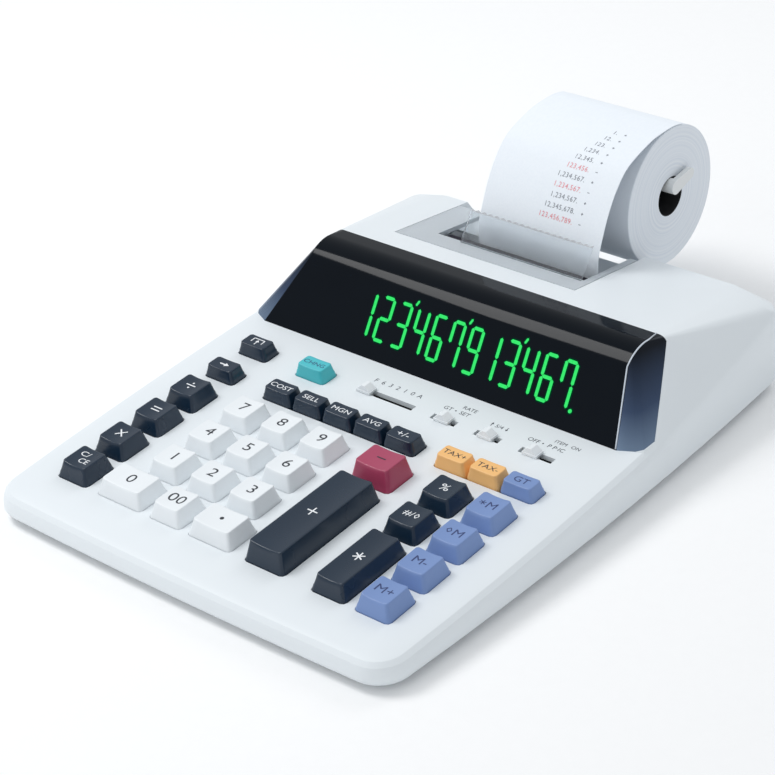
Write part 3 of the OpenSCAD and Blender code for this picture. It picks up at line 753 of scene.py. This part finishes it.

# %% [markdown]
# A bright line runs up the right corner between the face and the side return, where the
# moulding's polished edge catches the light. This highlight is painted: a thin pale bead swept along that corner.

# %% Window edge bead
def bead(name, points, radius, material, rider, sides=8):
    """A thin round bead along a row of points."""
    verts, faces = [], []
    for i, p in enumerate(points):
        along = (points[min(i + 1, len(points) - 1)] - points[max(i - 1, 0)]).normalized()
        side = along.cross(Vector((1, 0, 0))).normalized()
        other = along.cross(side)
        for k in range(sides):
            a = math.tau * k / sides
            verts.append(p + (side * math.cos(a) + other * math.sin(a)) * radius * MM)
    for i in range(len(points) - 1):
        for k in range(sides):
            a, b = i * sides + k, i * sides + (k + 1) % sides
            faces.append((a, b, b + sides, a + sides))
    faces += [tuple(reversed(range(sides))), tuple(range(len(verts) - sides, len(verts)))]
    obj = mesh_piece(name, verts, faces)
    for polygon in obj.data.polygons:
        polygon.use_smooth = True
    obj.data.materials.append(material)
    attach(obj, rider)
    return obj


# The pale bead is a painted highlight on the window's corner.
edge_painted_highlight = plastic("edge_painted_highlight", (0.62, 0.68, 0.76), 0.2, 3000, 0.05, 0.1, coat=0.5)
bead("window_edge_highlight", [deck(half - 0.3, v, w) for v, w, half in profile], 0.3, edge_painted_highlight,
     "case")

# %% [markdown]
# ## The glowing digits
# A fluorescent tube shows slim seven-segment figures that lean to the left. Each segment
# is a bar with pointed ends. A dim, slightly larger copy underneath stands for the glow
# that spreads inside the smoked window. The figures lie on the window's face, where
# they are seen, instead of deep inside it.

# %% Display digits
DIGIT_PITCH, DIGIT_WIDE, STROKE = 8.56, 4.8, 1.35
DIGIT_LOW, DIGIT_HIGH = 7.9, 24.7
FIRST_RIGHT, LEAN = -37.9, 0.12
POINT_X, POINT_Q, POINT_RADIUS, POINT_CORNERS = 60.6, 7.6, 0.8, 16
segments_of = {"1": "bc", "2": "abged", "3": "abgcd", "4": "fgbc", "6": "afgecd",
               "7": "abcf", "9": "abcdfg"}
middle = (DIGIT_LOW + DIGIT_HIGH) / 2
bars = {"a": ((0, DIGIT_HIGH), (1, DIGIT_HIGH)), "g": ((0, middle), (1, middle)),
        "d": ((0, DIGIT_LOW), (1, DIGIT_LOW)), "b": ((1, middle), (1, DIGIT_HIGH)),
        "c": ((1, DIGIT_LOW), (1, middle)), "f": ((0, middle), (0, DIGIT_HIGH)),
        "e": ((0, DIGIT_LOW), (0, middle))}


def bar_shape(start, end, width, gap):
    """A bar with pointed ends, as flat points."""
    a, b = Vector(start), Vector(end)
    along = (b - a).normalized()
    side = Vector((-along.y, along.x)) * width / 2
    a, b = a + along * gap, b - along * gap
    tip = width * 0.45
    return [a, a + along * tip - side, b - along * tip - side, b, b - along * tip + side,
            a + along * tip + side]


def digit_outlines(grow):
    """All the lit shapes on the face, each a list of flat points."""
    shapes = []
    for i, figure in enumerate("123467913467"):
        right = FIRST_RIGHT + DIGIT_PITCH * i
        for key in segments_of[figure]:
            (sx, sq), (ex, eq) = bars[key]
            shape = bar_shape((right - DIGIT_WIDE * (1 - sx), sq),
                              (right - DIGIT_WIDE * (1 - ex), eq), STROKE + 2 * grow,
                              0.12 - grow)
            shapes.append([Vector((p.x + LEAN * (DIGIT_HIGH - p.y), p.y)) for p in shape])
        if i in (2, 5, 8):
            tick = bar_shape((right + 1.3, DIGIT_HIGH + 0.5), (right + 2.1, DIGIT_HIGH + 2.9),
                             1.0 + 2 * grow, -grow)
            shapes.append(tick)
    radius = POINT_RADIUS + grow
    turns = [math.tau * k / POINT_CORNERS for k in range(POINT_CORNERS)]
    shapes.append([Vector((POINT_X + radius * math.cos(a), POINT_Q + radius * math.sin(a)))
                   for a in turns])
    return shapes


def glow(name, dark, light, strength):
    """A glowing finish that is slightly uneven, like the tube's coating."""
    material, tree, shader = shader_of(name)
    coating = stretched_noise(tree, 900, (1, 1, 1))
    tinted(tree, shader.inputs["Emission Color"], coating, dark, light)
    tinted(tree, shader.inputs["Base Color"], coating, (0, 0.01, 0.005), (0, 0.02, 0.01))
    shader.inputs["Emission Strength"].default_value = strength
    shader.inputs["Specular IOR Level"].default_value = 0.0
    return material


for name, grow, lift, material in (
        ("digit_halo", 0.55, 0.16, glow("halo_green", (0.0, 0.018, 0.006), (0.0, 0.03, 0.01), 1)),
        ("digits_lit", 0.0, 0.20, glow("digit_green", (0.03, 0.72, 0.12), (0.06, 0.95, 0.2), 1))):
    verts, faces = [], []
    for shape in digit_outlines(grow):
        faces.append(tuple(range(len(verts), len(verts) + len(shape))))
        verts += [on_face(p.x, p.y, lift) for p in shape]
    digits = mesh_piece(name, verts, faces)
    digits.data.materials.append(material)
    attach(digits, "case")
print("lit shapes:", len(digit_outlines(0)))

# %% [markdown]
# ## The printed tape
# The paper climbs out of the printer and lies back over the roll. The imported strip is
# made of a few flat pieces, so the twin runs a smooth curve through the same points.

# %% Tape
TAPE_LEFT, TAPE_RIGHT, TAPE_THICK = -32.95, 24.55, 0.3
tape_path = [(193.4, -9), (193.4, 4), (193.4, 18), (194.6, 24), (197.4, 30), (202, 38.2),
             (208, 45.8), (216, 51.8), (229.8, 55.3), (238.8, 55.75), (246.8, 55.25),
             (252.8, 53.65)]


def smooth_path(points, steps=6):
    """A smooth curve through points, with even steps between each pair."""
    made = []
    for i in range(len(points) - 1):
        p0, p1 = Vector(points[max(i - 1, 0)]), Vector(points[i])
        p2, p3 = Vector(points[i + 1]), Vector(points[min(i + 2, len(points) - 1)])
        for k in range(steps):
            t = k / steps
            made.append(0.5 * (2 * p1 + (p2 - p0) * t + (2 * p0 - 5 * p1 + 4 * p2 - p3) * t * t
                               + (3 * p1 - p0 - 3 * p2 + p3) * t ** 3))
    return made + [Vector(points[-1])]


curve_points = smooth_path(tape_path)
lengths = [0.0]
for a, b in zip(curve_points, curve_points[1:]):
    lengths.append(lengths[-1] + (b - a).length)


def along_tape(distance, lift=0.0):
    """A point on the tape's printed side, by its distance from the lower end."""
    i = max(1, next((k for k, s in enumerate(lengths) if s >= distance), len(lengths) - 1))
    a, b = curve_points[i - 1], curve_points[i]
    share = (distance - lengths[i - 1]) / (lengths[i] - lengths[i - 1])
    step = (b - a).normalized()
    return a.lerp(b, share) + Vector((-step.y, step.x)) * lift


verts, faces = [], []
for i, p in enumerate(curve_points):
    step = (curve_points[min(i + 1, len(curve_points) - 1)]
            - curve_points[max(i - 1, 0)]).normalized()
    up = Vector((-step.y, step.x)) * TAPE_THICK
    for q in (p, p + up):
        verts += [deck(TAPE_LEFT, q.x, q.y), deck(TAPE_RIGHT, q.x, q.y)]
for i in range(len(curve_points) - 1):
    a = 4 * i
    faces += [(a, a + 4, a + 5, a + 1), (a + 2, a + 3, a + 7, a + 6),
              (a, a + 2, a + 6, a + 4), (a + 1, a + 5, a + 7, a + 3)]
last = len(verts) - 4
faces += [(0, 1, 3, 2), (last, last + 2, last + 3, last + 1)]
tape = mesh_piece("tape_skin", verts, faces)
smooth_by_angle(tape, 40)
tape.data.materials.append(finishes["paper"])
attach(tape, "case")
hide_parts("paper_tape")
print("tape length:", round(lengths[-1], 1))

# %% [markdown]
# The printing is a column of growing numbers, flush right, with a small symbol beside
# each. Credits are printed in red. Every letter is a small mesh that follows the curve.

# %% Tape printing
PRINT_RIGHT, PRINT_TOP, PRINT_STEP, PRINT_SIZE = 9.6, 84.0, 4.2, 2.9
SYMBOL_X = 13.2
print_black = paper_like("print_black", (0.10, 0.11, 0.14), (0.30, 0.32, 0.36), 0.1)
print_red = paper_like("print_red", (0.70, 0.12, 0.16), (0.85, 0.32, 0.36), 0.1)
rows = [("1.", 0), ("12.", 0), ("123.", 0), ("1,234.", 0), ("12,345.", 0), ("123,456.", 1),
        ("1,234,567.", 0), ("1,234,567.", 1), ("1,234,567.", 0), ("12,345,678.", 0),
        ("123,456,789.", 1)]


def print_on_tape(name, part, x, distance, material):
    verts = []
    for p in part[0]:
        q = along_tape(distance + p.y, TAPE_THICK + 0.04)
        verts.append(deck(x + p.x, q.x, q.y))
    obj = mesh_piece(name, verts, part[1])
    obj.data.materials.append(material)
    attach(obj, "case")


for i, (text, red) in enumerate(rows):
    part = text_outline(text, PRINT_SIZE, 0.95, 1.12)
    half = max(v.x for v in part[0])
    ink = print_red if red else print_black
    print_on_tape(f"print_row_{i}", part, PRINT_RIGHT - half, PRINT_TOP - PRINT_STEP * i, ink)
    mark = strokes([((-0.5, 0), (0.5, 0)), ((0, -0.5), (0, 0.5))][: 1 if i in (5, 7, 10) else 2],
                   0.28)
    print_on_tape(f"print_mark_{i}", mark, SYMBOL_X, PRINT_TOP - PRINT_STEP * i, print_black)

# %% [markdown]
# ## The paper roll
# Seen from its end, a roll shows its turns as very faint rings. The end is turned from
# a profile with a slightly rounded rim. The core is a dark cardboard tube.

# %% Roll
roll_low, roll_high = deck_box("paper_roll")
ROLL_V, ROLL_W = (roll_low.y + roll_high.y) / 2, (roll_low.z + roll_high.z) / 2
ROLL_RADIUS = (roll_high.z - roll_low.z) / 2
CORE_RADIUS, TURN_POINTS = 8.2, 128


def turned(name, profile, v, w, points=TURN_POINTS, closed=True):
    """A shape turned about the deck's x direction from (x, radius) pairs."""
    verts, faces = [], []
    for x, r in profile:
        for k in range(points):
            a = math.tau * k / points
            verts.append(deck(x, v + r * math.cos(a), w + r * math.sin(a)))
    count = len(profile)
    for i in range(count if closed else count - 1):
        for k in range(points):
            j, m = (i + 1) % count, (k + 1) % points
            faces.append((i * points + k, i * points + m, j * points + m, j * points + k))
    obj = mesh_piece(name, verts, faces)
    smooth_by_angle(obj, 40)
    return obj


roll_paper, tree, shader = shader_of("roll_paper")
coords = tree.nodes.new("ShaderNodeTexCoord")
centre = deck(0, ROLL_V, ROLL_W)
from_axis = tree.nodes.new("ShaderNodeVectorMath")
from_axis.operation = "SUBTRACT"
from_axis.inputs[1].default_value = centre
flat = tree.nodes.new("ShaderNodeVectorMath")
flat.operation = "MULTIPLY"
flat.inputs[1].default_value = (0, 1, 1)
span = tree.nodes.new("ShaderNodeVectorMath")
span.operation = "LENGTH"
tree.links.new(coords.outputs["Object"], from_axis.inputs[0])
tree.links.new(from_axis.outputs[0], flat.inputs[0])
tree.links.new(flat.outputs[0], span.inputs[0])
turns = tree.nodes.new("ShaderNodeTexNoise")
turns.noise_dimensions = "1D"
turns.inputs["Scale"].default_value = 1100
turns.inputs["Detail"].default_value = 4
tree.links.new(span.outputs["Value"], turns.inputs["W"])
tinted(tree, shader.inputs["Base Color"], turns.outputs[0], (0.70, 0.76, 0.84),
       (0.92, 0.95, 0.98))
bumped(tree, shader, turns.outputs[0], 0.2, 0.0001)
tree.links.new(maths(tree, "MULTIPLY_ADD", turns.outputs[0], 0.1, 0.7),
               shader.inputs["Roughness"])
RIM = 0.25
roll = turned("roll_skin", [(TAPE_LEFT, CORE_RADIUS), (TAPE_LEFT, ROLL_RADIUS - RIM),
                            (TAPE_LEFT + RIM, ROLL_RADIUS), (TAPE_RIGHT - RIM, ROLL_RADIUS),
                            (TAPE_RIGHT, ROLL_RADIUS - RIM), (TAPE_RIGHT, CORE_RADIUS)],
              ROLL_V, ROLL_W)
roll.data.materials.append(roll_paper)
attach(roll, "roll")
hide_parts("paper_roll")
core_card = plastic("core_card", (0.012, 0.012, 0.014), 0.8, 1500, 0.4, 0.2)
CORE_WALL = 0.3
core = turned("roll_core_tube", [(TAPE_LEFT + 0.1, CORE_RADIUS - 0.02),
                                 (TAPE_RIGHT - 0.1, CORE_RADIUS - 0.02),
                                 (TAPE_RIGHT - 0.1, CORE_RADIUS - CORE_WALL),
                                 (TAPE_LEFT + 0.1, CORE_RADIUS - CORE_WALL)], ROLL_V, ROLL_W)
core.data.materials.append(core_card)
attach(core, "roll")
print("roll radius:", round(ROLL_RADIUS, 2))

# %% [markdown]
# ## Lettering beside the switches
# Small grey lettering is printed on the deck above each switch. It names the decimal
# places and the switch positions.

# %% Switch lettering
deck_grey = plastic("deck_grey", (0.07, 0.08, 0.10), 0.5, 5000, 0.05)


def on_deck(name, part, x, v):
    obj = mesh_piece(name, [deck(x + p.x, v + p.y, INK_LIFT) for p in part[0]], part[1])
    obj.data.materials.append(deck_grey)
    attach(obj, "case")


for k, letter in enumerate("F63210A"):
    on_deck(f"decimal_{k}", text_outline(letter, 3.2), -18.2 + 3.5 * k, 109.5)
on_deck("rate_left", text_outline("GT", 2.9), 16.6, 109.0)
on_deck("rate_dot", dot(0, 0, 0.35), 20.0, 109.0)
on_deck("rate_set", text_outline("SET", 2.9), 24.2, 109.0)
on_deck("rate_word", text_outline("RATE", 2.7), 24.2, 112.4)
on_deck("round_word", text_outline("5/4", 2.7), 40.0, 109.2)
on_deck("power_off", text_outline("OFF", 2.9), 55.6, 109.0)
on_deck("power_dot", dot(0, 0, 0.35), 59.6, 109.0)
on_deck("power_print", text_outline("P P·IC", 2.9), 65.4, 109.0)
on_deck("power_items", text_outline("ITEM", 2.5), 65.0, 112.6)
on_deck("power_on", text_outline("ON", 2.5), 71.4, 112.6)
for name, x, turn_over in (("round_up", 36.6, 1), ("round_down", 43.4, -1)):
    arrow = joined(strokes([((0, -1.1), (0, 0.4))], 0.3),
                   ([Vector((-0.6, 0.2, 0)), Vector((0.6, 0.2, 0)), Vector((0, 1.2, 0))],
                    [(0, 1, 2)]))
    if turn_over < 0:
        arrow = ([Vector((-p.x, -p.y, 0)) for p in arrow[0]], arrow[1])
    on_deck(name, arrow, x, 109.2)

# %% [markdown]
# ## The cover's clear paper guide
# The guide that leans back in front of the tape is much clearer than the frosted frame,
# although both belong to one moulding. Its faces are found by their height above the
# housing's sloping top.

# %% Clear guide
guide_clear, tree, shader = shader_of("guide_clear")
haze = stretched_noise(tree, 120, (1, 1, 1))
tinted(tree, shader.inputs["Base Color"], haze, (0.90, 0.94, 0.97), (0.97, 0.99, 1.0))
tree.links.new(maths(tree, "MULTIPLY_ADD", haze, 0.08, 0.05), shader.inputs["Roughness"])
shader.inputs["Transmission Weight"].default_value = 0.95
shader.inputs["IOR"].default_value = 1.25
cover = nodes["printer_cover"]
cover.data.materials.append(guide_clear)
GUIDE_ABOVE = 0.3
count = 0
for polygon in cover.data.polygons:
    centre = UNDECK @ polygon.center / MM
    top = TOP_EDGE.y - (centre.y - TOP_EDGE.x) * math.tan(TOP_FALL)
    if centre.z - top > GUIDE_ABOVE:
        polygon.material_index = 1
        count += 1
print("guide faces:", count)
